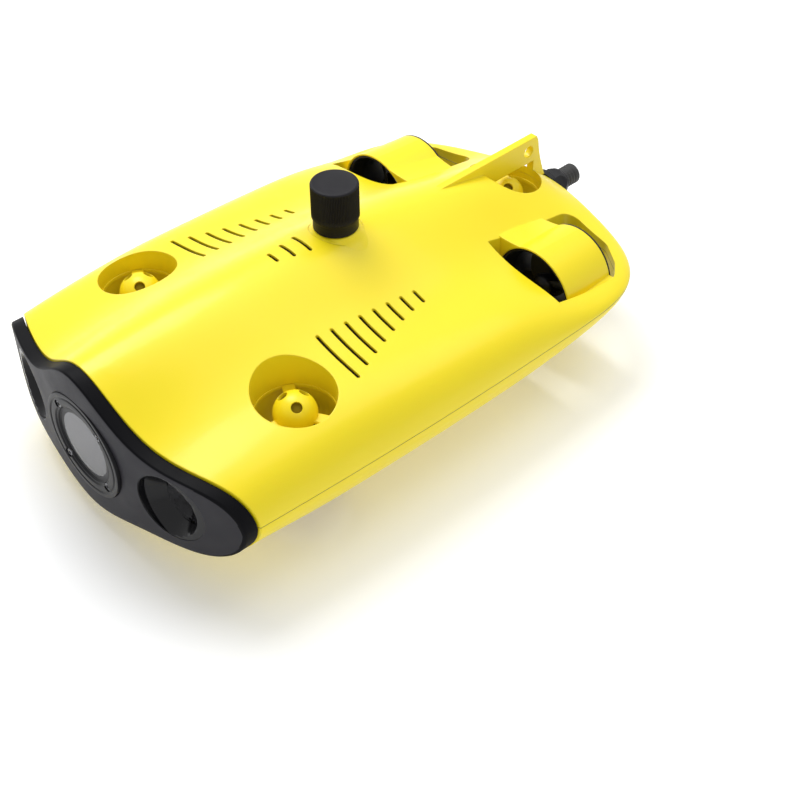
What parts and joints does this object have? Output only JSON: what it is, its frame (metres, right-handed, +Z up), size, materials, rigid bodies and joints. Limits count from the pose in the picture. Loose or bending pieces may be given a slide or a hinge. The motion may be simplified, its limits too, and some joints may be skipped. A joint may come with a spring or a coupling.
{
  "type": "underwater inspection ROV",
  "caption": "Compact yellow underwater inspection ROV with a black camera nose, lamps, ducted thrusters, a tail fin and a knurled top port cap.",
  "frame": {"origin": "on the floor at the keel, under the middle of the moulded hull, where the keel_rest mount is", "axes": "+Z up, nose and camera towards -Y, +X to the right when seen from the front"},
  "size_m": [0.226, 0.387, 0.138],
  "materials": {
    "black": "satin",
    "board": "satin",
    "bowl": "gloss",
    "brass": "machined",
    "cap": "matte",
    "cell": "satin",
    "clear": "gloss",
    "glass": "gloss",
    "guard": "satin",
    "lead": "matte",
    "led": "gloss",
    "metal": "satin",
    "panel": "matte",
    "rotor": "satin",
    "rubber": "matte",
    "screw": "brushed",
    "shell": "satin"
  },
  "bodies": {
    "hull": {"accessory_insert": "brass", "ballast_left": "lead", "ballast_right": "lead", "battery_cells": "cell", "camera_hood": "black", "camera_lens": "glass", "camera_ring": "black", "camera_ring_screws": "screw", "camera_sensor_board": "board", "camera_window": "glass", "dry_tube": "metal", "duct_guard_front_left": "guard", "duct_guard_front_right": "guard", "duct_guard_tail_vertical": "guard", "duct_liner_front_left": "black", "duct_liner_front_right": "black", "duct_liner_tail_vertical": "black", "gland_body": "black", "gland_nut": "black", "gland_sleeve": "rubber", "hull_screws": "screw", "lamp_cover_left": "clear", "lamp_cover_right": "clear", "lamp_cup_left": "bowl", "lamp_cup_right": "bowl", "lamp_led_left": "led", "lamp_led_right": "led", "lower_shell": "shell", "main_board": "board", "motor_front_left": "metal", "motor_front_right": "metal", "motor_main_left": "metal", "motor_main_right": "metal", "motor_tail_vertical": "metal", "nose_panel": "panel", "port_collar": "black", "thruster_duct_left": "black", "thruster_duct_right": "black", "tube_cap_front": "metal", "tube_cap_rear": "metal", "upper_shell": "shell"},
    "propeller_front_right": {"propeller_front_right": "black", "rotor_front_right": "rotor"},
    "propeller_front_left": {"propeller_front_left": "black", "rotor_front_left": "rotor"},
    "propeller_tail_vertical": {"propeller_tail_vertical": "black", "rotor_tail_vertical": "rotor"},
    "propeller_main_right": {"propeller_main_right": "black", "rotor_main_right": "rotor"},
    "propeller_main_left": {"propeller_main_left": "black", "rotor_main_left": "rotor"},
    "plug": {"port_plug": "metal", "port_seal": "rubber"},
    "cap": {"port_cap": "cap"}
  },
  "joints": [
    {"name": "spin_front_right", "type": "hinge", "parent": "hull", "child": "propeller_front_right", "pos_m": [0.0686, -0.0755, 0.052], "axis": [0, 0, 1], "continuous": true},
    {"name": "spin_front_left", "type": "hinge", "parent": "hull", "child": "propeller_front_left", "pos_m": [-0.0686, -0.0755, 0.052], "axis": [0, 0, 1], "continuous": true},
    {"name": "spin_tail_vertical", "type": "hinge", "parent": "hull", "child": "propeller_tail_vertical", "pos_m": [0, 0.1545, 0.046], "axis": [0, 0, 1], "continuous": true},
    {"name": "spin_main_right", "type": "hinge", "parent": "hull", "child": "propeller_main_right", "pos_m": [0.0684, 0.118, 0.051], "axis": [0, 1, 0], "continuous": true},
    {"name": "spin_main_left", "type": "hinge", "parent": "hull", "child": "propeller_main_left", "pos_m": [-0.0684, 0.118, 0.051], "axis": [0, 1, 0], "continuous": true},
    {"name": "plug_lift", "type": "slide", "parent": "hull", "child": "plug", "axis": [0, 0, 1], "range_m": [0, 0.0075]},
    {"name": "cap_turn", "type": "hinge", "parent": "plug", "child": "cap", "pos_m": [0, 0.0144, 0.1094], "axis": [0, 0, 1], "range_deg": [0, 1800]}
  ],
  "couplings": [
    {"joint": "cap_turn", "follows": "plug_lift", "rad_per_m": 4188.8}
  ]
}
